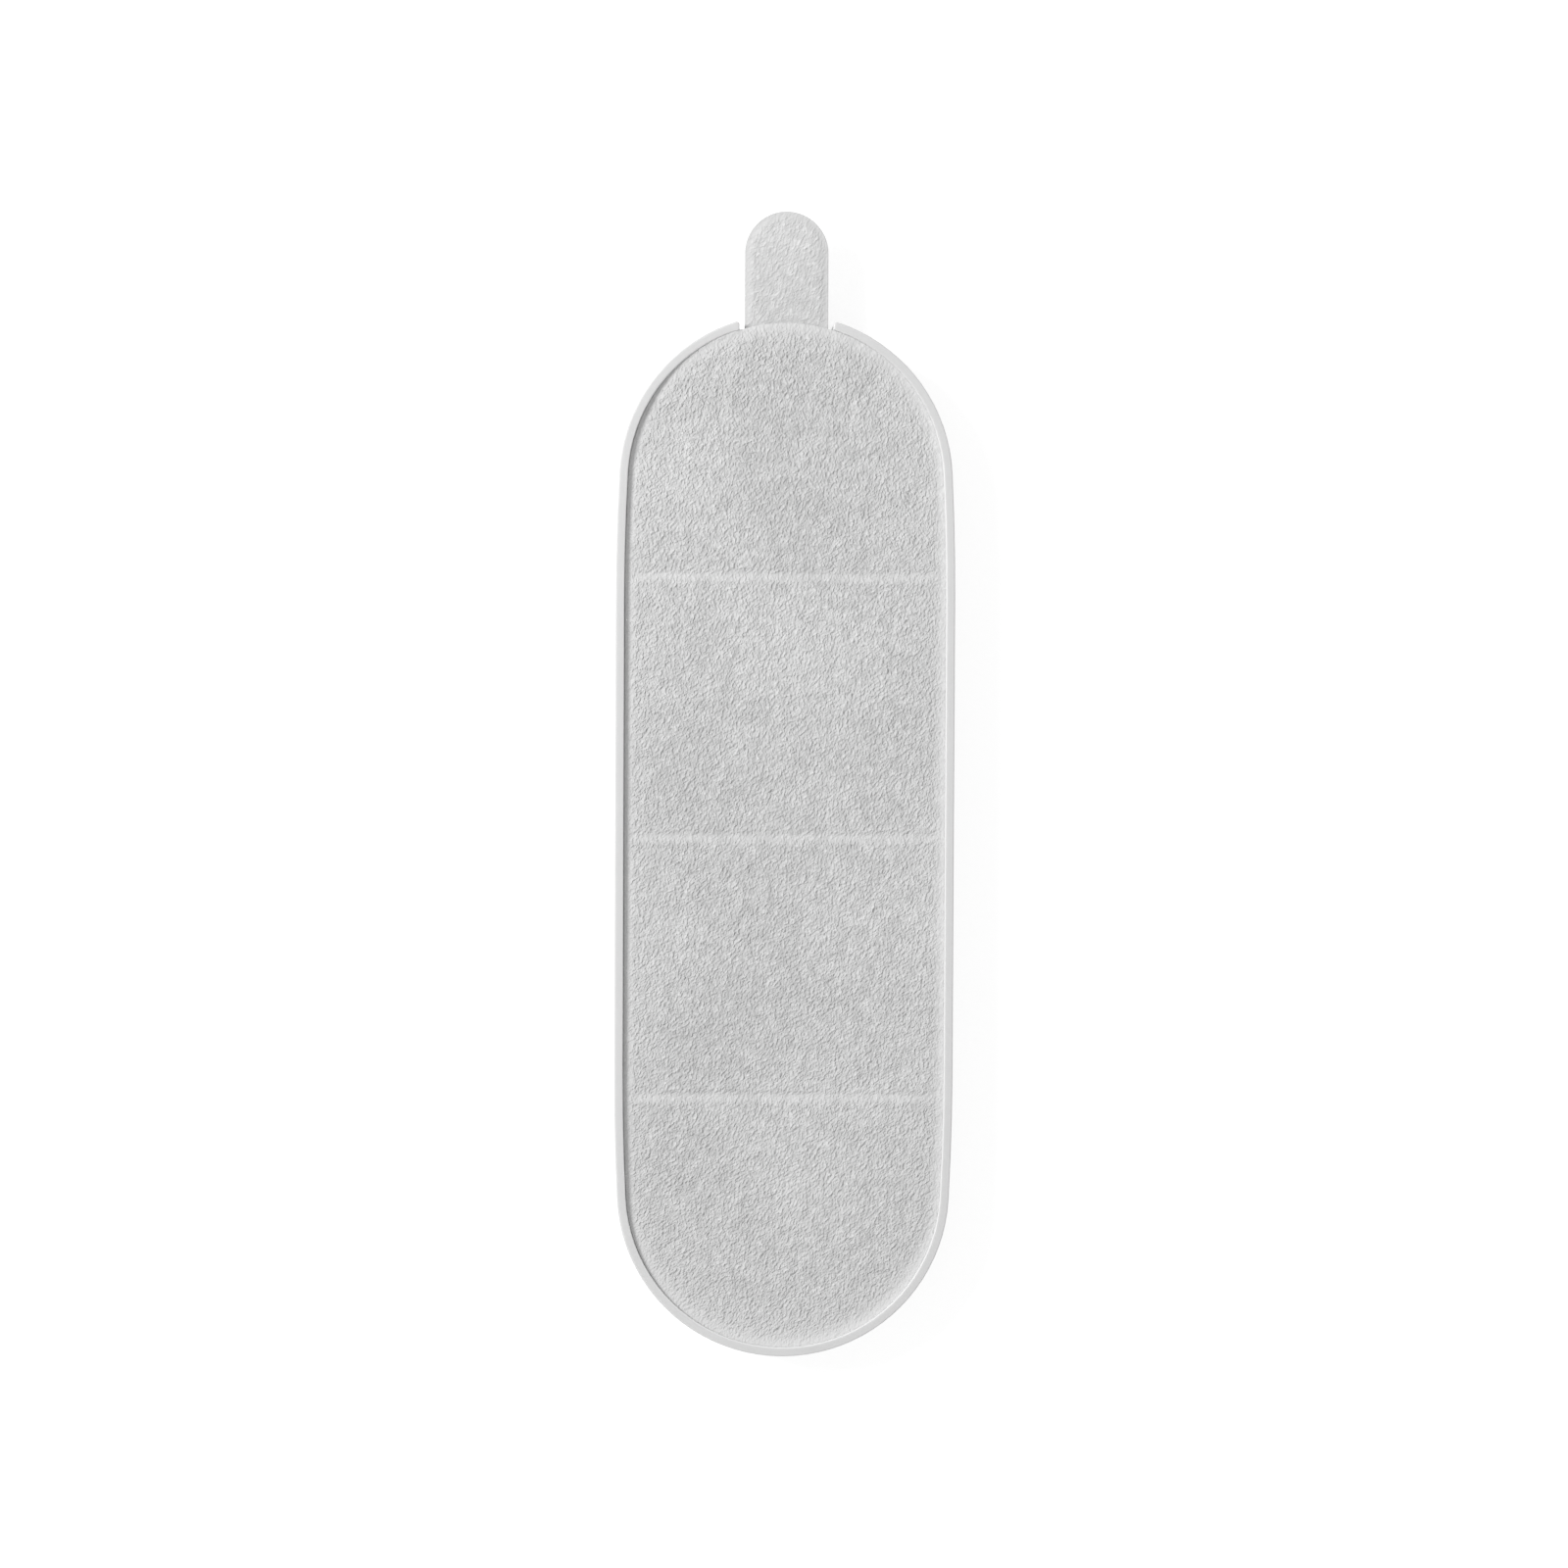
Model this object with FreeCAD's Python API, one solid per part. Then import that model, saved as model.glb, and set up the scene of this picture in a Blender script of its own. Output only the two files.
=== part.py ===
import FreeCAD
import Part
import math
import os

from FreeCAD import Vector

# Flat filter cartridge of a pet drinking fountain, lying on its back, front sheet up.
# A moulded white frame has a capsule outline, a raised rim and four chambers in a row.
# A welded non-woven sheet closes each face, granules fill the chambers, and a non-woven
# pull tab leaves under the front sheet through a gap in the rim.
# Millimetres. X runs across the cartridge, Y along it towards the tab, Z up to the front.
# The shapes are made about the middle of the frame, and placed at export so that the
# origin is the middle of the whole cartridge, tab included, on the surface it lies on.

# Outline of the frame, seen from the front
body_length = 150.0
body_width = 48.8
body_height = 10.0
flank_radius = 340.0  # long arcs that draw the sides in before each round end
flank_run = 18.0  # how far along Y each long arc runs

# Rim, the outer wall that stands round both sheets
rim_wall = 1.3
rim_round = 0.2
skirt_chamfer = 0.2
gap_width = 13.5  # break in the rim where the tab leaves
gap_corner = 0.45

# Inside of the frame
front_recess = 1.0  # depth of the front sheet below the rim
back_recess = 0.3  # height of the back sheet above the surface under the cartridge
ledge_width = 2.6
ledge_thickness = 1.4
chamber_wall = 1.4
chamber_count = 4
chamber_corner = 1.5  # round corners where the ribs meet the chamber wall
rib_thickness = 1.1
web_thickness = 0.8
web_pitch = 12.0
web_foot = 3.0  # height at which the webs stop short of the skirt's edge

# Non-woven sheets
sheet_thickness = 0.7
pressed_depth = 0.2  # how far the welds press the sheet in
weld_margin = 0.1  # how far the pressed lines reach past the walls and ribs
sheet_gap = 0.12  # between the front sheet's cut edge and the rim

# Pull tab
tab_width = 12.0
tab_reach = 14.8  # past the end of the frame
tab_thickness = 0.6
tab_land = 0.7  # ledge left between the tab's foot and the first chamber
tab_clearance = 0.2

# Granules
bed_clearance = 0.15
bed_headspace = 0.5

# Heights and insets that follow from the sizes above
front_weld = body_height - front_recess - sheet_thickness
back_weld = back_recess + sheet_thickness
ledge_bottom = front_weld - ledge_thickness
ledge_inset = rim_wall + ledge_width
chamber_wall_inset = ledge_inset - chamber_wall
sheet_inset = rim_wall + sheet_gap
tab_tip = body_length / 2 + tab_reach
tab_foot = body_length / 2 - ledge_inset + tab_land
past_body = body_width + body_length  # reaches clear of the part in any direction
overlap = rim_wall / 2  # how far fused features run into each other

# Centres of the outline's arcs, shared by every outline set in from it
flank_angle = math.asin(flank_run / flank_radius)
flank_centre_x = body_width / 2 - flank_radius
crown_radius = flank_radius + flank_centre_x / math.cos(flank_angle)
crown_centre_y = body_length / 2 - crown_radius
flank_centre_y = crown_centre_y + flank_centre_x * math.tan(flank_angle)


def outline(inset):
    """Closed wire of the frame's outline, set in by inset, at height 0."""
    side = body_width / 2 - inset
    crown = crown_radius - inset
    shoulder_x = crown * math.cos(flank_angle)
    shoulder_y = crown_centre_y + crown * math.sin(flank_angle)
    middle_x = flank_centre_x + (flank_radius - inset) * math.cos(flank_angle / 2)
    middle_y = flank_centre_y + (flank_radius - inset) * math.sin(flank_angle / 2)

    def at(x, y):
        return Vector(x, y, 0)

    edges = []
    for end in (1, -1):
        low = at(end * side, -end * flank_centre_y)
        high = at(end * side, end * flank_centre_y)
        shoulder = at(end * shoulder_x, end * shoulder_y)
        far_shoulder = at(-end * shoulder_x, end * shoulder_y)
        far_high = at(-end * side, end * flank_centre_y)
        tip = at(0, end * (crown_centre_y + crown))
        edges.append(Part.LineSegment(low, high).toShape())
        edges.append(Part.Arc(high, at(end * middle_x, end * middle_y), shoulder).toShape())
        edges.append(Part.Arc(shoulder, tip, far_shoulder).toShape())
        edges.append(Part.Arc(far_shoulder, at(-end * middle_x, end * middle_y), far_high).toShape())
    return Part.Wire(edges)


def plate(inset, bottom, top):
    """Plate of the frame's outline, set in by inset, between two heights."""
    face = Part.Face(outline(inset))
    face.translate(Vector(0, 0, bottom))
    return face.extrude(Vector(0, 0, top - bottom))


def block(x_size, y_low, y_high, bottom, top):
    """Box centred on X, between two places along Y and two heights."""
    corner = Vector(-x_size / 2, y_low, bottom)
    return Part.makeBox(x_size, y_high - y_low, top - bottom, corner)


def edges_at(shape, height):
    """Edges of the shape that lie flat at one height."""
    return [e for e in shape.Edges if all(abs(v.Z - height) < 1e-6 for v in e.Vertexes)]


def rim_gap_cutter():
    """What the tab's gap takes off the frame: all that stands outside the front sheet."""
    slot = block(gap_width, 0, past_body, 0, body_height)
    return slot.cut(plate(sheet_inset, 0, body_height))


def rim():
    """Outer wall from the surface up past the front sheet, with its gap and broken edges."""
    inner = plate(rim_wall, 0, body_height)
    wall = plate(0, 0, body_height).cut([inner, block(gap_width, 0, past_body, 0, body_height)])
    gap_corners = []
    for edge in wall.Edges:
        start, end = edge.Vertexes[0].Point, edge.Vertexes[-1].Point
        upright = (end - start).cross(Vector(0, 0, 1)).Length < 1e-6
        beside_gap = abs(abs(start.x) - gap_width / 2) < 1e-6
        from_centre = math.hypot(start.x, start.y - crown_centre_y)
        if upright and beside_gap and from_centre > crown_radius - rim_wall / 2:
            gap_corners.append(edge)
    wall = wall.makeFillet(gap_corner, gap_corners)
    wall = wall.makeFillet(rim_round, edges_at(wall, body_height))
    return wall.makeChamfer(skirt_chamfer, edges_at(wall, 0))


def rib_places():
    """Places along Y of the ribs that part the chambers."""
    pitch = body_length / chamber_count
    return [pitch * (n - chamber_count / 2) for n in range(1, chamber_count)]


def chamber_room(number, clearance, bottom, top):
    """Room inside one chamber between two heights, drawn in by a clearance.

    Its corners are round: it is the room drawn in by the corner radius, grown again."""
    corner = chamber_corner - clearance
    from_rib = rib_thickness / 2 + chamber_corner
    bounds = [-past_body] + rib_places() + [past_body]
    low = bounds[number] + from_rib
    high = bounds[number + 1] - from_rib
    band = Part.makePlane(past_body, high - low, Vector(-past_body / 2, low, 0))
    core = Part.Face(outline(ledge_inset + chamber_corner)).common(band)
    room = core.Faces[0].makeOffset2D(corner)
    room.translate(Vector(0, 0, bottom))
    return room.extrude(Vector(0, 0, top - bottom))


def chamber_rooms(clearance, bottom, top):
    """Rooms of all the chambers, from the far end to the tab's end."""
    return [chamber_room(number, clearance, bottom, top) for number in range(chamber_count)]


def web(place, along):
    """Small upright web across the channel between rim and chamber wall."""
    span = chamber_wall_inset - rim_wall + 2 * overlap
    top = front_weld - ledge_thickness / 2
    corner = Vector(-web_thickness / 2, -span / 2, web_foot)
    fin = Part.makeBox(web_thickness, span, top - web_foot, corner)
    angle = math.degrees(math.atan2(along.y, along.x))
    fin.rotate(Vector(0, 0, 0), Vector(0, 0, 1), angle)
    fin.translate(Vector(place.x, place.y, 0))
    return fin


def webs():
    """Webs at an even pitch round the channel, and one closing it at each side of the gap."""
    channel_middle = (rim_wall + chamber_wall_inset) / 2
    line = outline(channel_middle)
    count = round(line.Length / web_pitch)
    places = line.discretize(Number=count + 1)[:-1]
    made = []
    for n, place in enumerate(places):
        along = places[(n + 1) % count] - places[n - 1]
        clear_of_gap = abs(place.x) > gap_width / 2 + web_thickness * 2 or place.y < 0
        if clear_of_gap:
            made.append(web(place, along))
    crown = crown_radius - channel_middle
    for side in (-1, 1):
        x = side * (gap_width / 2 + web_thickness)
        y = math.sqrt(crown ** 2 - x ** 2)
        made.append(web(Vector(x, crown_centre_y + y, 0), Vector(y, -x, 0)))
    return made


def tab_outline(side_clearance, foot):
    """Face of the tab's strip from its foot to its round tip, grown by a clearance."""
    half = tab_width / 2 + side_clearance
    shoulder = tab_tip - tab_width / 2
    corners = [Vector(half, shoulder, 0), Vector(half, foot, 0)]
    far_corners = [Vector(-half, foot, 0), Vector(-half, shoulder, 0)]
    sides = Part.makePolygon(corners + far_corners).Edges
    tip = Part.Arc(far_corners[1], Vector(0, shoulder + half, 0), corners[0]).toShape()
    return Part.Face(Part.Wire(sides + [tip]))


def tab_solid(side_clearance, foot):
    """The tab's strip, or the seat it needs in the ledge."""
    face = tab_outline(side_clearance, foot)
    face.translate(Vector(0, 0, front_weld - tab_thickness))
    return face.extrude(Vector(0, 0, tab_thickness))


def frame():
    """One moulding: rim, ledge, chambers and webs, with the tab's gap and its seat."""
    ledge = plate(overlap, ledge_bottom, front_weld)
    chambers = plate(chamber_wall_inset, back_weld, front_weld)
    inside = chambers.fuse([ledge] + webs())
    inside = inside.cut([rim_gap_cutter()] + chamber_rooms(0, back_weld, front_weld))
    seat = tab_solid(tab_clearance, tab_foot - tab_clearance)
    return inside.fuse(rim()).removeSplitter().cut(seat)


def welded_sheet(inset, weld_height, away):
    """Non-woven sheet on a weld plane: a pressed base with a fuller field over each chamber.

    away is 1 where the sheet lies above the weld plane and -1 where it lies below."""
    pressed_face = weld_height + away * (sheet_thickness - pressed_depth)
    full_face = weld_height + away * sheet_thickness
    pressed = plate(inset, min(weld_height, pressed_face), max(weld_height, pressed_face))
    fields = chamber_rooms(weld_margin, min(weld_height, full_face), max(weld_height, full_face))
    return pressed.fuse(fields).removeSplitter()


def export(name, shape):
    """Places the shape about the whole cartridge's middle and writes its file."""
    placed = shape.copy()
    placed.translate(Vector(0, -tab_reach / 2, 0))
    placed.exportStep(os.path.join("parts", name + ".step"))
    box = placed.optimalBoundingBox(False, False)
    print(name, placed.isValid(), len(placed.Solids), "volume %.0f" % placed.Volume,
          "size %.2f %.2f %.2f" % (box.XLength, box.YLength, box.ZLength))


os.makedirs("parts", exist_ok=True)
export("frame", frame())
export("front_sheet", welded_sheet(sheet_inset, front_weld, 1))
export("back_sheet", welded_sheet(chamber_wall_inset, back_weld, -1))
export("pull_tab", tab_solid(0, tab_foot))
for number, bed in enumerate(chamber_rooms(bed_clearance, back_weld, front_weld - bed_headspace)):
    export("granule_bed_%d" % (number + 1), bed)
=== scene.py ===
import math

import bpy
from mathutils import Matrix, Vector


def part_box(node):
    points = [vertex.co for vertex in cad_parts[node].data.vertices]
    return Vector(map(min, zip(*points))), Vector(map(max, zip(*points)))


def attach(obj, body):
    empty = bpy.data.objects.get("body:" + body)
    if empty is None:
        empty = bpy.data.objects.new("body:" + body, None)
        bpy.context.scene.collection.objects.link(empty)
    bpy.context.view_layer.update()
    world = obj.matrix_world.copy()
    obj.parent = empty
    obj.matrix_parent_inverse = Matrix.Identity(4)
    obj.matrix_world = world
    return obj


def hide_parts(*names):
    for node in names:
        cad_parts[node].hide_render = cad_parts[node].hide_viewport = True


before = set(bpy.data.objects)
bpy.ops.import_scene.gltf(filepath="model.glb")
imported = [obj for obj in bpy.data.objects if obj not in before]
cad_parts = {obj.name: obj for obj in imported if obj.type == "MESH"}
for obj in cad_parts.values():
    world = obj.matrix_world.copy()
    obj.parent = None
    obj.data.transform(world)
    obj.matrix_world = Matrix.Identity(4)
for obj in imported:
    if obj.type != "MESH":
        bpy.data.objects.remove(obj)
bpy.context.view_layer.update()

# Looks of a flat filter cartridge for a pet drinking fountain: a white moulded frame,
# non-woven sheet welded over the chambers on both faces, and a pull tab of finer sheet.
# Metres, in the cartridge's own frame: X across, Y along towards the tab, Z up to the front.

MM = 0.001

# Sizes that the solids' boxes don't give
RIM_WALL = 1.3 * MM
FLANK_RADIUS = 340.0 * MM  # long arcs that draw the sides in before each round end
FLANK_RUN = 18.0 * MM  # how far along Y each long arc runs
CHAMBER_COUNT = 4
PRESSED_DEPTH = 0.2 * MM  # how far the welds press a sheet in
GAP_HALF_WIDTH = 6.75 * MM  # of the break in the rim where the tab leaves

# Cut edges of the sheets, and the spacing of the grids that the sheets are made of
FRONT_ROUND = 0.03 * MM
BACK_ROUND = 0.12 * MM
TAB_ROUND = 0.1 * MM
LEFT_GAP = 0.09 * MM  # how far the front sheet stays clear of the rim at the left
SHEET_CELL = 0.285 * MM
TAB_CELL = 0.11 * MM

# Bands over which the felt changes, as distances where the change begins and ends
RIB_BAND = (0.1 * MM, 1.4 * MM)  # from the middle of a rib
TAB_EDGE_BAND = (0.2 * MM, 1.4 * MM)  # from the tab's cut edge
FAR_END_BAND = (52 * MM, 68 * MM)  # from the middle towards the end without the tab

# Relief of the felt, as clouds: name, detail, height, slant, length and width
SHEET_RELIEF = (
    ("swell", 1, 0.16 * MM, 0.3, 6 * MM, 5 * MM),
    ("clumps", 2, 0.22 * MM, 1.25, 1.8 * MM, 0.9 * MM),
    ("strands", 1, 0.14 * MM, 1.05, 1.2 * MM, 0.45 * MM),
)
TAB_RELIEF = (
    ("tab_clumps", 2, 0.07 * MM, 0.9, 1.6 * MM, 0.8 * MM),
    ("tab_strands", 2, 0.05 * MM, 0.8, 0.9 * MM, 0.3 * MM),
)

# Strands in the shader: slant and fan in radians, the rest in millimetres
SHEET_STRANDS = {"Slant": 1.2, "Fan": 0.6, "Width": 0.33, "Length": 0.85, "Wander": 0.2}
TAB_STRANDS = {"Slant": 0.85, "Fan": 0.5, "Width": 0.32, "Length": 1.2, "Wander": 0.4}
FINE_HAIRS = {"Slant": 1.1, "Fan": 1.1, "Width": 0.07, "Length": 1.0, "Wander": 0.5}

# Places read from the solids
frame_low, frame_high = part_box("frame")
front_low, front_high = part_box("front_sheet")
back_low, back_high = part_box("back_sheet")
tab_low, tab_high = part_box("pull_tab")
BODY_HALF_WIDTH = (frame_high.x - frame_low.x) / 2
BODY_MIDDLE = (front_low.y + front_high.y) / 2
BODY_HALF_LENGTH = BODY_MIDDLE - frame_low.y
BACK_CUT_INSET = BODY_HALF_WIDTH - back_high.x
TAB_HALF_WIDTH = (tab_high.x - tab_low.x) / 2
TAB_SHOULDER = tab_high.y - TAB_HALF_WIDTH  # where the tab's round tip begins

# Outline of the frame and what is drawn in from it
FLANK_ANGLE = math.asin(FLANK_RUN / FLANK_RADIUS)
FLANK_CENTRE_X = BODY_HALF_WIDTH - FLANK_RADIUS
CROWN_RADIUS = FLANK_RADIUS + FLANK_CENTRE_X / math.cos(FLANK_ANGLE)
CROWN_CENTRE_Y = BODY_HALF_LENGTH - CROWN_RADIUS
FLANK_START_Y = CROWN_CENTRE_Y + FLANK_CENTRE_X * math.tan(FLANK_ANGLE)
CHAMBER_PITCH = 2 * BODY_HALF_LENGTH / CHAMBER_COUNT
RIB_PLACES = [CHAMBER_PITCH * (n - CHAMBER_COUNT / 2) for n in range(1, CHAMBER_COUNT)]


def half_width(along, inset):
    """Half width of the outline drawn in by inset, at a distance along from its middle."""
    y = abs(along)
    crown = CROWN_RADIUS - inset
    if y <= FLANK_START_Y:
        return BODY_HALF_WIDTH - inset
    if y <= CROWN_CENTRE_Y + crown * math.sin(FLANK_ANGLE):
        flank = FLANK_RADIUS - inset
        return FLANK_CENTRE_X + math.sqrt(flank ** 2 - (y - FLANK_START_Y) ** 2)
    return math.sqrt(max(crown ** 2 - (y - CROWN_CENTRE_Y) ** 2, 0.0))


def depth_inside(x, along):
    """How far a point lies inside the frame's outline."""
    x, y = abs(x), abs(along)
    if y <= FLANK_START_Y:
        return BODY_HALF_WIDTH - x
    from_flank = Vector((x - FLANK_CENTRE_X, y - FLANK_START_Y))
    if math.atan2(from_flank.y, from_flank.x) < FLANK_ANGLE:
        return FLANK_RADIUS - from_flank.length
    return CROWN_RADIUS - math.hypot(x, y - CROWN_CENTRE_Y)


def distance_from_rib(along):
    """Distance from the middle of the nearest rib."""
    return min(abs(along - place) for place in RIB_PLACES)


def smooth_step(value, low, high):
    """0 up to low, 1 past high, and a smooth rise between them."""
    share = min(max((value - low) / (high - low), 0.0), 1.0)
    return share * share * (3 - 2 * share)


def grey(level):
    return (level, level, level, 1.0)


# Work on one piece at a time, as by hand

def pick_alone(piece):
    """Only this piece is selected and active."""
    bpy.ops.object.select_all(action="DESELECT")
    piece.select_set(True)
    bpy.context.view_layer.objects.active = piece


def named(name):
    """The active object, under its own name and that of its mesh."""
    piece = bpy.context.view_layer.objects.active
    piece.name = piece.data.name = name
    return piece


def apply_modifiers(piece):
    pick_alone(piece)
    for modifier in [m.name for m in piece.modifiers]:
        bpy.ops.object.modifier_apply(modifier=modifier)


# Node helpers

class Tree:
    """A node tree, with short calls that add nodes and join them."""

    def __init__(self, tree):
        self.tree = tree

    def join(self, source, target):
        self.tree.links.new(source, target)

    def add(self, kind, values=None, **settings):
        node = self.tree.nodes.new(kind)
        for key, value in settings.items():
            setattr(node, key, value)
        self.set(node, values or {})
        return node

    def set(self, node, values):
        for key, value in values.items():
            if isinstance(value, bpy.types.NodeSocket):
                self.join(value, node.inputs[key])
            else:
                node.inputs[key].default_value = value

    def math(self, operation, first, second=0.0, third=0.0, clamp=False):
        values = {0: first, 1: second, 2: third}
        return self.add("ShaderNodeMath", values, operation=operation, use_clamp=clamp).outputs[0]

    def vector(self, operation, first, second):
        values = {0: first, "Scale" if operation == "SCALE" else 1: second}
        return self.add("ShaderNodeVectorMath", values, operation=operation).outputs[0]

    def noise(self, place, scale, detail, output="Fac"):
        values = {"Vector": place, "Scale": scale, "Detail": detail}
        return self.add("ShaderNodeTexNoise", values).outputs[output]

    def blend(self, share, first, second):
        values = {"Factor": share, 6: first, 7: second}
        return self.add("ShaderNodeMix", values, data_type="RGBA").outputs[2]

    def bump(self, height, distance):
        values = {"Height": height, "Strength": 1.0, "Distance": distance}
        return self.add("ShaderNodeBump", values).outputs["Normal"]

    def seen(self):
        """1 for rays from the camera, mirrors and glass, and 0 for those that only bring light."""
        path = self.add("ShaderNodeLightPath").outputs
        direct = self.math("MAXIMUM", path["Is Camera Ray"], path["Is Glossy Ray"])
        return self.math("MAXIMUM", direct, path["Is Transmission Ray"])


def new_material(name):
    """A material with its tree and its shader."""
    material = bpy.data.materials.new(name)
    material.use_nodes = True
    shader = next(n for n in material.node_tree.nodes if n.type == "BSDF_PRINCIPLED")
    return material, Tree(material.node_tree), shader


def fibre_group():
    """Matted fibres: layers of long thin strands, each layer at its own slant.

    Slant is the middle direction and Fan how far the layers turn from it, in radians.
    Width, Length and Wander are the size of a strand and how far it strays, in millimetres."""
    group = bpy.data.node_groups.new("matted_fibres", "ShaderNodeTree")
    sockets = group.interface
    sockets.new_socket(name="Position", in_out="INPUT", socket_type="NodeSocketVector")
    for name in ("Slant", "Fan", "Width", "Length", "Wander"):
        sockets.new_socket(name=name, in_out="INPUT", socket_type="NodeSocketFloat")
    for name in ("Height", "Clumps"):
        sockets.new_socket(name=name, in_out="OUTPUT", socket_type="NodeSocketFloat")
    tree = Tree(group)
    given = tree.add("NodeGroupInput").outputs
    result = tree.add("NodeGroupOutput").inputs
    in_mm = tree.vector("SCALE", given["Position"], 1 / MM)
    stray = tree.vector("SUBTRACT", tree.noise(in_mm, 0.7, 1.0, "Color"), (0.5, 0.5, 0.5))
    moved = tree.vector("ADD", in_mm, tree.vector("SCALE", stray, given["Wander"]))
    layers = ((-1.0, 3.0), (0.0, 29.0), (1.0, 11.0))  # turn within the fan, level in the noise
    height = 0.0
    for turn, level in layers:
        angle = tree.math("MULTIPLY_ADD", given["Fan"], turn, given["Slant"])
        values = {"Vector": moved, "Angle": tree.math("MULTIPLY", angle, -1.0)}
        turned = tree.add("ShaderNodeVectorRotate", values, rotation_type="Z_AXIS").outputs[0]
        parts = tree.add("ShaderNodeSeparateXYZ", {0: turned}).outputs
        along = tree.math("DIVIDE", parts["X"], given["Length"])
        across = tree.math("DIVIDE", parts["Y"], given["Width"])
        values = {"X": along, "Y": across, "Z": level}
        place = tree.add("ShaderNodeCombineXYZ", values).outputs[0]
        strands = tree.noise(place, 1.0, 1.0)
        height = tree.math("MULTIPLY_ADD", strands, 1 / len(layers), height)
    tree.join(height, result["Height"])
    uneven = tree.math("SUBTRACT", tree.noise(in_mm, 0.06, 0.0), 0.5)
    clumps = tree.math("MULTIPLY_ADD", uneven, 0.45, tree.noise(in_mm, 0.6, 2.0))
    tree.join(clumps, result["Clumps"])
    return group


def felt_material(name, fibres, strands, loose_grey, pale_grey, relief, turn=0.0, mottle=0.95):
    """Non-woven sheet: matted fibres with painted shade in the hollows between them, smoother
    where it is pressed, and paler by the paleness mark, which holds pressed welds and painted
    bounce light.

    The strands' slant changes along Y by turn, in radians for each metre, and mottle is
    how strongly the clumps show."""
    material, tree, shader = new_material(name)
    place = tree.add("ShaderNodeTexCoord").outputs["Object"]
    loose = tree.add("ShaderNodeAttribute", attribute_name="looseness").outputs["Fac"]
    pale = tree.add("ShaderNodeAttribute", attribute_name="paleness").outputs["Fac"]
    along = tree.add("ShaderNodeSeparateXYZ", {0: place}).outputs["Y"]
    slant = tree.math("MULTIPLY_ADD", along, turn, strands["Slant"])
    matted = tree.add("ShaderNodeGroup", node_tree=fibres)
    tree.set(matted, {**strands, "Slant": slant, "Position": place})
    hairs = tree.add("ShaderNodeGroup", node_tree=fibres)
    tree.set(hairs, {**FINE_HAIRS, "Position": place})
    height = matted.outputs["Height"]
    hair = tree.math("SUBTRACT", hairs.outputs["Height"], 0.5)

    # Colour: painted shade in the hollows between the fibres and painted highlights on their
    # crests and on the fine hairs, over patches where the clumps differ in tone
    painted_crest_light = tree.math("MULTIPLY", tree.math("SUBTRACT", height, 0.52), 9.0, clamp=True)
    clumps = tree.math("SUBTRACT", matted.outputs["Clumps"], 0.5)
    patches = tree.math("MULTIPLY_ADD", clumps, mottle, 0.27)
    patches_and_hair_shading = tree.math("MULTIPLY_ADD", hair, 1.5, patches)
    tone_and_painted_shade = tree.math("MULTIPLY_ADD", painted_crest_light, 0.75, patches_and_hair_shading, clamp=True)
    fibre_colour = tree.blend(tone_and_painted_shade, grey(0.88 * loose_grey), grey(1.21 * loose_grey))
    # paler by the paleness mark: pressed welds and moulding behind, and painted bounce light near
    # the rim
    tree.join(tree.blend(pale, fibre_colour, grey(pale_grey)), shader.inputs["Base Color"])
    tree.set(shader, {"Roughness": 0.95, "Specular IOR Level": 0.2, "Sheen Weight": 0.1})

    # Relief: lower where the sheet is pressed
    rough = tree.math("MULTIPLY_ADD", hair, 0.12, height)
    raised = tree.math("MULTIPLY", rough, tree.math("MULTIPLY_ADD", loose, 0.7, 0.3))
    tree.join(tree.bump(raised, relief), shader.inputs["Normal"])
    return material


def rim_highlight_mask(tree, place):
    """Mask for a painted highlight: 1 where the rim's top rounds over towards the sheet, and 0
    elsewhere.
    """
    least_lean = 0.1
    parts = tree.add("ShaderNodeSeparateXYZ", {0: place}).outputs
    along = tree.math("SUBTRACT", parts["Y"], BODY_MIDDLE)
    on_axis = tree.math("MINIMUM", tree.math("MAXIMUM", along, -CROWN_CENTRE_Y), CROWN_CENTRE_Y)
    past_axis = tree.math("SUBTRACT", along, on_axis)
    from_axis = tree.add("ShaderNodeCombineXYZ", {"X": parts["X"], "Y": past_axis}).outputs[0]
    away = tree.add("ShaderNodeVectorMath", {0: from_axis}, operation="NORMALIZE").outputs[0]
    normal = tree.add("ShaderNodeNewGeometry").outputs["True Normal"]
    up = tree.add("ShaderNodeSeparateXYZ", {0: normal}).outputs["Z"]
    facing = tree.add("ShaderNodeVectorMath", {0: normal, 1: away}, operation="DOT_PRODUCT")
    leans_in = tree.math("LESS_THAN", facing.outputs["Value"], -least_lean)
    return tree.math("MULTIPLY", leans_in, tree.math("GREATER_THAN", up, least_lean))


def plastic_material(name):
    """White polypropylene, satin, with the faint unevenness of a moulded face, and a painted
    highlight along the rim's inner rounding.
    """
    material, tree, shader = new_material(name)
    place = tree.add("ShaderNodeTexCoord").outputs["Object"]
    flow = tree.noise(place, 90.0, 2.0)
    grain = tree.noise(place, 2500.0, 2.0)
    moulded = tree.blend(flow, grey(0.69), grey(0.73))
    # painted highlight: the rim's inner rounding is coloured paler, as if lit
    colour = tree.blend(rim_highlight_mask(tree, place), moulded, grey(0.79))
    tree.join(colour, shader.inputs["Base Color"])
    tree.join(tree.math("MULTIPLY_ADD", flow, 0.15, 0.35), shader.inputs["Roughness"])
    tree.set(shader, {"Specular IOR Level": 0.3, "Subsurface Weight": 0.6,
                      "Subsurface Radius": (1.0, 1.0, 1.0), "Subsurface Scale": 0.7 * MM})
    tree.join(tree.bump(grain, 0.004 * MM), shader.inputs["Normal"])
    return material


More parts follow.
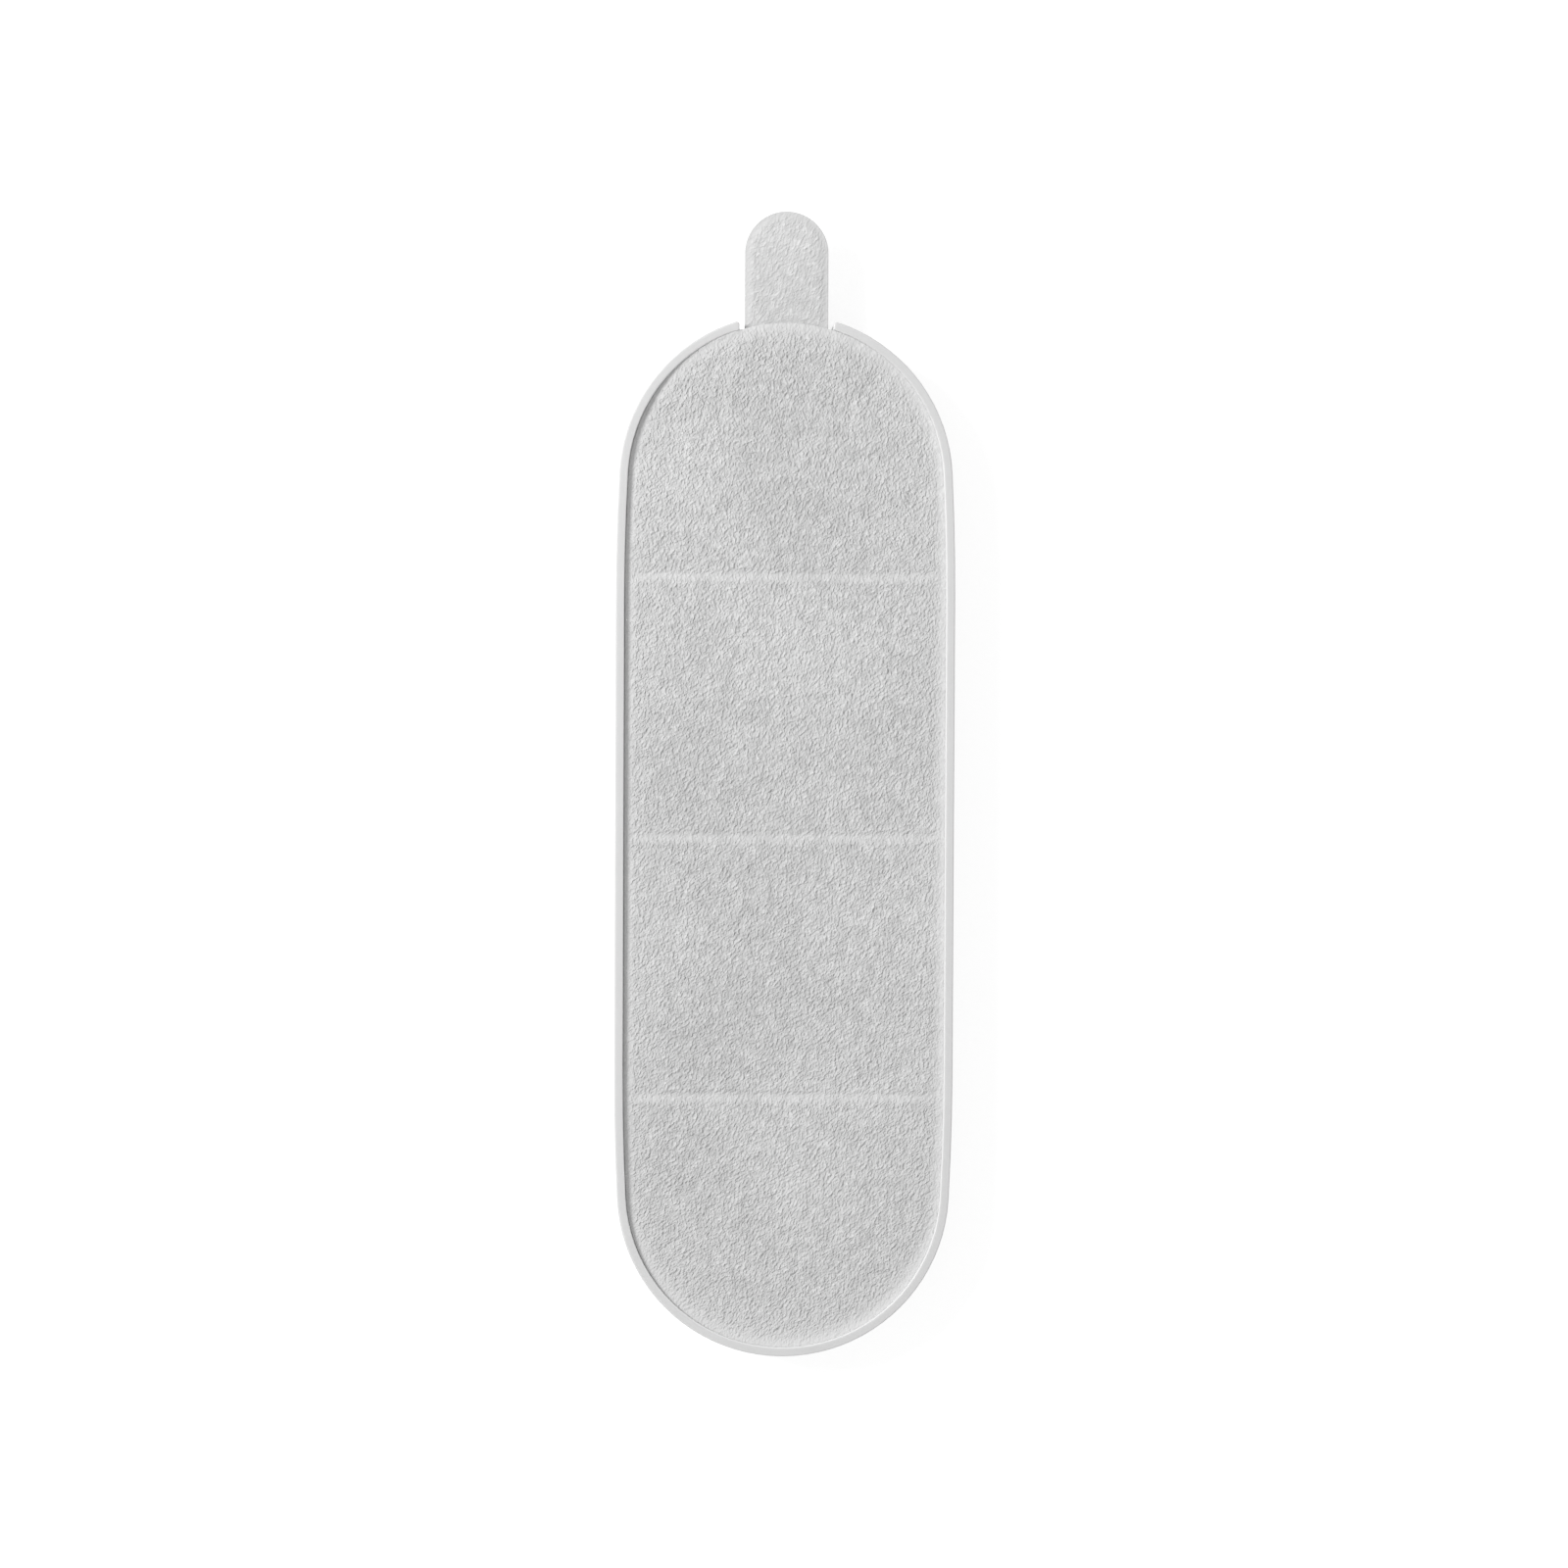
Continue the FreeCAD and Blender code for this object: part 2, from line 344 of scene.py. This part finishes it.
def granule_material(name):
    """Mixed granules: dark carbon with brown and pale resin among it."""
    material, tree, shader = new_material(name)
    place = tree.add("ShaderNodeTexCoord").outputs["Object"]
    cells = tree.add("ShaderNodeTexVoronoi", {"Vector": place, "Scale": 1100.0}).outputs
    kind = tree.add("ShaderNodeSeparateColor", {0: cells["Color"]}).outputs["Red"]
    is_resin = tree.math("GREATER_THAN", kind, 0.7)
    is_pale = tree.math("GREATER_THAN", kind, 0.9)
    mixed = tree.blend(is_resin, grey(0.03), (0.30, 0.17, 0.07, 1.0))
    colour = tree.blend(is_pale, mixed, (0.62, 0.55, 0.42, 1.0))
    tree.join(colour, shader.inputs["Base Color"])
    shader.inputs["Roughness"].default_value = 0.7
    round_top = tree.math("SUBTRACT", 1.0, cells["Distance"])
    tree.join(tree.bump(round_top, 0.3 * MM), shader.inputs["Normal"])
    return material


# Sheets of felt

def felt_grid(name, half, half_at, low, high, cell, round_low):
    """Flat grid from low to high along Y, with rows and columns that follow its round ends.

    half_at gives the true half width at each place along. The high end is always round."""
    columns = 2 * round(half / cell)
    end_rows = columns // 2
    first = low + half if round_low else low
    last = high - half
    straight_rows = round((last - first) / cell)
    rows = straight_rows + end_rows * (2 if round_low else 1)
    bpy.ops.mesh.primitive_grid_add(x_subdivisions=columns, y_subdivisions=rows, size=2.0)
    piece = named(name)
    for vertex in piece.data.vertices:
        across = vertex.co.x
        row = (vertex.co.y + 1) / 2 * rows - (end_rows if round_low else 0)
        end = max(-row, row - straight_rows, 0.0) / end_rows
        past = half * end * math.sqrt(1 - across ** 2 / 2)
        straight = first + (last - first) * min(max(row / straight_rows, 0.0), 1.0)
        along = min(max(straight + (past if row > 0 else -past), low + 1e-9), high - 1e-9)
        disc = math.sqrt(max(half ** 2 - past ** 2, 1e-18))
        x = half * across * math.sqrt(1 - end ** 2 / 2) * half_at(along) / disc
        vertex.co = (x, along, 0.0)
    return piece


def displace(piece, name, detail, height, slant, length, width):
    """Raises and sinks the loose parts by clouds drawn out along a slant."""
    texture = bpy.data.textures.new(name, "CLOUDS")
    texture.noise_scale = 1.0
    texture.noise_depth = detail
    guide = bpy.data.objects.new("guide", None)
    bpy.context.scene.collection.objects.link(guide)
    guide.rotation_euler = (0, 0, slant)
    guide.scale = (length, width, width)
    bpy.context.view_layer.update()
    modifier = piece.modifiers.new(name, "DISPLACE")
    modifier.texture = texture
    modifier.texture_coords = "OBJECT"
    modifier.texture_coords_object = guide
    modifier.direction = "Z"
    modifier.strength = height
    modifier.vertex_group = "loose"
    apply_modifiers(piece)
    bpy.data.objects.remove(guide)


def mark(piece, name, value_at):
    """Stores a value at each vertex for the shader."""
    values = [value_at(v.co.x, v.co.y) for v in piece.data.vertices]
    attribute = piece.data.attributes.new(name, "FLOAT", "POINT")
    attribute.data.foreach_set("value", values)
    return values


def mark_looseness(piece, looseness):
    """Stores how loose the fibres are at each vertex, for the shader and the displacement."""
    values = mark(piece, "looseness", looseness)
    group = piece.vertex_groups.new(name="loose")
    for index, value in enumerate(values):
        group.add([index], value, "REPLACE")
    return values


def outward(depth, x, y):
    """Unit direction in which a sheet's depth falls fastest."""
    step = 0.01 * MM
    across = depth(x - step, y) - depth(x + step, y)
    along = depth(x, y - step) - depth(x, y + step)
    return Vector((across, along, 0)).normalized()


def close_sheet(piece, depth, face, other_face, edge_round):
    """Rounds the edge over and closes the sheet with walls and a flat far side."""
    away = math.copysign(1.0, face - other_face)
    rings = ((0.45, 0.10), (0.85, 0.40), (1.0, 1.0))  # reach and drop, in shares of edge_round
    pick_alone(piece)
    bpy.ops.object.mode_set(mode="EDIT")
    bpy.ops.mesh.select_mode(type="VERT")
    bpy.ops.mesh.select_all(action="DESELECT")
    bpy.ops.mesh.select_non_manifold()
    bpy.ops.object.mode_set(mode="OBJECT")
    edge = [v for v in piece.data.vertices if v.select]
    start = [(v.co.copy(), outward(depth, v.co.x, v.co.y)) for v in edge]
    for reach, drop in rings:
        bpy.ops.object.mode_set(mode="EDIT")
        bpy.ops.mesh.extrude_region_move()
        bpy.ops.object.mode_set(mode="OBJECT")
        ring = [v for v in piece.data.vertices if v.select]
        for vertex, (place, out) in zip(ring, start):
            vertex.co = place + out * reach * edge_round
            vertex.co.z -= away * drop * edge_round
    bpy.ops.object.mode_set(mode="EDIT")
    bpy.ops.mesh.extrude_region_move()
    bpy.ops.object.mode_set(mode="OBJECT")
    for vertex in piece.data.vertices:
        if vertex.select:
            vertex.co.z = other_face
    bpy.ops.object.mode_set(mode="EDIT")
    bpy.ops.mesh.edge_face_add()
    bpy.ops.mesh.select_all(action="SELECT")
    bpy.ops.mesh.normals_make_consistent(inside=False)
    bpy.ops.object.mode_set(mode="OBJECT")


def body_looseness(x, y):
    """Looseness of a welded sheet: little over the ledge, and less over each rib."""
    along = y - BODY_MIDDLE
    from_edge = depth_inside(x, along) - RIM_WALL
    far_end = smooth_step(-along, *FAR_END_BAND)
    margin = (1.7 + 1.2 * smooth_step(x, -12 * MM, 4 * MM) + 0.8 * far_end) * MM
    near_edge = 0.1 + 0.9 * smooth_step(from_edge, 0.2 * MM, margin)
    near_rib = 0.35 + 0.65 * smooth_step(distance_from_rib(along), 0.1 * MM, 1.15 * MM)
    return min(near_edge, near_rib)


def body_paleness(x, y):
    """How pale the sheet is: the white moulding shows through at the welds and ribs, most at the
    rim and wider at the round ends, and painted bounce light lies near the rim, strongest at the
    far end.
    """
    along = y - BODY_MIDDLE
    from_edge = depth_inside(x, along) - RIM_WALL
    round_end = smooth_step(abs(along), 48 * MM, 66 * MM)
    far_end = smooth_step(-along, *FAR_END_BAND)
    right_side = smooth_step(x, -15 * MM, 0)
    margin = (1.7 + 1.4 * round_end * right_side + 0.9 * far_end) * MM
    near_edge = 1 - smooth_step(from_edge, 0.1 * MM, margin)
    # painted light: paler within 8 mm of the rim, more so at the far end, as if lit by light the
    # rim bounces
    painted_rim_bounce = (0.4 + 0.35 * far_end) * (1 - smooth_step(from_edge, 0, 8 * MM))
    near_rib = 0.37 * (1 - smooth_step(distance_from_rib(along), *RIB_BAND))
    # pale weld margin along the rim, partly the moulding showing through and partly painted light:
    # paler at the far end, less pale towards the right
    weld_margin_and_painted_light = (0.4 - 0.18 * smooth_step(x, 0, 20 * MM) + 0.3 * far_end) * near_edge
    return 1 - (1 - weld_margin_and_painted_light) * (1 - near_rib) * (1 - painted_rim_bounce)


def front_height(x, y):
    """Height of the front sheet over its solid's top: it turns up along the rim, is pressed
    down a little over the ribs, bows up towards the rim at the far end, and lies higher
    where the tab is under it."""
    along = y - BODY_MIDDLE
    from_edge = max(depth_inside(x, along) - RIM_WALL, 0.0)
    tab_end = smooth_step(along, 60 * MM, 73 * MM)
    far_end = smooth_step(-along, 52 * MM, 70 * MM)
    right_side = smooth_step(x, 0, 20 * MM)
    past_gap = smooth_step(abs(x), 0.85 * GAP_HALF_WIDTH, 1.1 * GAP_HALF_WIDTH)
    in_gap = smooth_step(along, 0, 50 * MM) * (1 - past_gap)
    turned_up = 0.18 - 0.06 * right_side + 0.04 * far_end
    turned_up *= max(1 - from_edge / (1.6 * MM), 0.0) ** 2.2
    fallen = 0.13 * max(1 - from_edge / (0.3 * MM), 0.0)
    curl = MM * (turned_up * (1 - in_gap) - fallen * in_gap)
    rib = 0.015 * MM * (1 - smooth_step(distance_from_rib(along), *RIB_BAND))
    bowed = 0.12 * far_end * max(1 - from_edge / (6 * MM), 0.0) ** 2
    bowed *= 1 - 0.7 * smooth_step(x, 4 * MM, 14 * MM)
    return (0.65 * tab_end + 0.05 * far_end + bowed + 0.02) * MM + curl - rib


def back_height(x, y):
    """Height of the back sheet over its solid's lower face, as loose as the fibres are."""
    return -PRESSED_DEPTH * (1 - body_looseness(x, y))


def body_felt(name, inset, face, other_face, edge_round, height, left_gap=0.0):
    """A welded sheet of felt, loose over each chamber, with its better face at face.

    left_gap is how far its edge stays clear of the rim at the left."""
    away = math.copysign(1.0, face - other_face)
    grid_inset = inset + edge_round
    reach = BODY_HALF_LENGTH - grid_inset

    def half_at(y):
        return half_width(y - BODY_MIDDLE, grid_inset)

    def depth(x, y):
        return depth_inside(x, y - BODY_MIDDLE)

    piece = felt_grid(name, BODY_HALF_WIDTH - grid_inset, half_at,
                      BODY_MIDDLE - reach, BODY_MIDDLE + reach, SHEET_CELL, round_low=True)
    mark_looseness(piece, body_looseness)
    mark(piece, "paleness", body_paleness)
    for vertex in piece.data.vertices:
        vertex.co.z = face + away * height(vertex.co.x, vertex.co.y)
    for clouds, detail, rise, slant, length, width in SHEET_RELIEF:
        displace(piece, clouds, detail, away * rise, slant, length, width)
    close_sheet(piece, depth, face, other_face, edge_round)
    for vertex in piece.data.vertices:
        vertex.co.x += left_gap * (min(vertex.co.x, 0.0) / BODY_HALF_WIDTH) ** 2
    return piece


def tab_depth(x, y):
    """How far a point lies inside the tab's cut edge, past its foot."""
    return TAB_HALF_WIDTH - math.hypot(x, max(y - TAB_SHOULDER, 0.0))


def past_sheet(x, y):
    """How far a point of the tab lies past the front sheet's edge."""
    return RIM_WALL - depth_inside(x, y - BODY_MIDDLE)


def tab_looseness(x, y):
    """Looseness of the tab: little along its cut edge, and none under the front sheet."""
    near_edge = 0.2 + 0.8 * smooth_step(tab_depth(x, y), *TAB_EDGE_BAND)
    return min(near_edge, smooth_step(past_sheet(x, y), 0.0, 1.2 * MM))


def tab_paleness(x, y):
    """The tab is smoother and paler where its cut edge is pressed."""
    return 1 - smooth_step(tab_depth(x, y), *TAB_EDGE_BAND)


def tab_felt(name):
    """The tab's strip, pressed along its cut edge and dipped where it leaves the sheet."""
    half = TAB_HALF_WIDTH - TAB_ROUND
    top = tab_high.z

    def half_at(y):
        return math.sqrt(max(half ** 2 - max(y - TAB_SHOULDER, 0.0) ** 2, 0.0))

    piece = felt_grid(name, half, half_at, tab_low.y, tab_high.y - TAB_ROUND, TAB_CELL,
                      round_low=False)
    mark(piece, "paleness", tab_paleness)
    for vertex, loose in zip(piece.data.vertices, mark_looseness(piece, tab_looseness)):
        past = past_sheet(vertex.co.x, vertex.co.y)
        dip = 0.07 * MM * (1 - smooth_step(past, -0.2 * MM, 0.7 * MM))
        vertex.co.z = top - 0.06 * MM * (1 - loose) - dip
    for clouds, detail, rise, slant, length, width in TAB_RELIEF:
        displace(piece, clouds, detail, rise, slant, length, width)
    close_sheet(piece, tab_depth, top, tab_low.z, TAB_ROUND)
    return piece


def dress(piece, node, material):
    """Gives a sheet its material and smooth shading, hangs it under the root, and hides the solid
    it stands in for.
    """
    piece.data.materials.append(material)
    pick_alone(piece)
    bpy.ops.object.shade_smooth_by_angle(angle=math.radians(60))
    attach(piece, "root")
    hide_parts(node)


# Materials of all the pieces

matted_fibres = fibre_group()
plastic = plastic_material("frame_plastic")
sheet_material = felt_material("filter_sheet", matted_fibres, SHEET_STRANDS, loose_grey=0.668,
                               pale_grey=0.73, relief=0.86 * MM, turn=1.3, mottle=1.28)
tab_material = felt_material("tab_sheet", matted_fibres, TAB_STRANDS, loose_grey=0.672,
                             pale_grey=0.68, relief=0.43 * MM)
granules = granule_material("granules")

nodes = {"frame": plastic, "front_sheet": sheet_material, "back_sheet": sheet_material,
         "pull_tab": tab_material}
for number in range(CHAMBER_COUNT):
    nodes["granule_bed_%d" % (number + 1)] = granules
for name, material in nodes.items():
    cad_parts[name].data.materials.clear()
    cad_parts[name].data.materials.append(material)

# The three sheets, in place of their solids

front_felt = body_felt("front_felt", RIM_WALL, front_high.z, front_low.z,
                       edge_round=FRONT_ROUND, height=front_height, left_gap=LEFT_GAP)
dress(front_felt, "front_sheet", sheet_material)
back_felt = body_felt("back_felt", BACK_CUT_INSET, back_low.z, back_high.z,
                      edge_round=BACK_ROUND, height=back_height)
dress(back_felt, "back_sheet", sheet_material)
dress(tab_felt("tab_felt"), "pull_tab", tab_material)


# Surroundings: floor, light and camera

CAMERA_PLACE = Vector((-15.6, 17.7, 610.0)) * MM
CAMERA_AIM = Vector((-0.091, 0.225, 10.0)) * MM
CAMERA_ROLL = 0.0044  # radians
CAMERA_LENS = 95.95  # as the sensor's width, in millimetres
SENSOR_WIDTH = 36.0
FLOOR_SIZE = 6.0
FLOOR_DROP = 0.02 * MM  # how far the floor lies below the cartridge
FLOOR_LIFT = 0.75  # what the floor sends to the camera itself, so that it looks white
LAMP_PLACE = Vector((-480, 232, 520)) * MM
LAMP_SIZE = 0.22
LAMP_WATTS = 3.9
FILL_LIGHT = 0.5  # light from all round, where 1 is white


def camera():
    """Above the cartridge and a little to its upper left, as in the photograph."""
    data = bpy.data.cameras.new("camera")
    data.lens = CAMERA_LENS
    data.sensor_width = SENSOR_WIDTH
    data.clip_start = 0.01
    view = bpy.data.objects.new("camera", data)
    bpy.context.scene.collection.objects.link(view)
    ahead = (CAMERA_AIM - CAMERA_PLACE).normalized()
    right = ahead.cross(Vector((0, 1, 0))).normalized()
    up = right.cross(ahead)
    turned_right = right * math.cos(CAMERA_ROLL) + up * math.sin(CAMERA_ROLL)
    turned_up = up * math.cos(CAMERA_ROLL) - right * math.sin(CAMERA_ROLL)
    axes = Matrix((turned_right, turned_up, -ahead)).transposed()
    view.matrix_world = Matrix.Translation(CAMERA_PLACE) @ axes.to_4x4()
    bpy.context.scene.camera = view


def floor():
    """White floor that keeps the cartridge's shadow, and bounces light as a pale floor does."""
    bpy.ops.mesh.primitive_plane_add(size=FLOOR_SIZE, location=(0, 0, -FLOOR_DROP))
    piece = named("floor")
    material = bpy.data.materials.new("floor")
    material.use_nodes = True
    material.node_tree.nodes.clear()
    tree = Tree(material.node_tree)
    bounce = tree.add("ShaderNodeBsdfDiffuse", {"Color": grey(0.8)}).outputs[0]
    shadowed = tree.add("ShaderNodeBsdfDiffuse", {"Color": grey(0.5)}).outputs[0]
    lift = tree.add("ShaderNodeEmission", {"Color": grey(1.0), "Strength": FLOOR_LIFT}).outputs[0]
    lifted = tree.add("ShaderNodeAddShader", {0: shadowed, 1: lift}).outputs[0]
    mixed = tree.add("ShaderNodeMixShader", {0: tree.seen(), 1: bounce, 2: lifted}).outputs[0]
    tree.join(mixed, tree.add("ShaderNodeOutputMaterial").inputs["Surface"])
    piece.data.materials.append(material)


def lights():
    """A soft lamp at the upper left, and as much light again from all round."""
    lamp = bpy.data.lights.new("window", "AREA")
    lamp.energy = LAMP_WATTS
    lamp.size = LAMP_SIZE
    window = bpy.data.objects.new("window", lamp)
    bpy.context.scene.collection.objects.link(window)
    window.location = LAMP_PLACE
    ahead = Vector((0, BODY_MIDDLE, front_high.z)) - LAMP_PLACE
    window.rotation_euler = ahead.to_track_quat("-Z", "Y").to_euler()
    window.visible_camera = False
    world = bpy.data.worlds.new("studio")
    bpy.context.scene.world = world
    world.use_nodes = True
    world.node_tree.nodes.clear()
    tree = Tree(world.node_tree)
    fill = tree.add("ShaderNodeBackground", {"Color": grey(1.0), "Strength": FILL_LIGHT})
    white = tree.add("ShaderNodeBackground", {"Color": grey(1.0), "Strength": 1.0})
    values = {0: tree.seen(), 1: fill.outputs[0], 2: white.outputs[0]}
    mixed = tree.add("ShaderNodeMixShader", values).outputs[0]
    tree.join(mixed, tree.add("ShaderNodeOutputWorld").inputs["Surface"])


camera()
floor()
lights()
bpy.context.scene.view_settings.view_transform = "Standard"
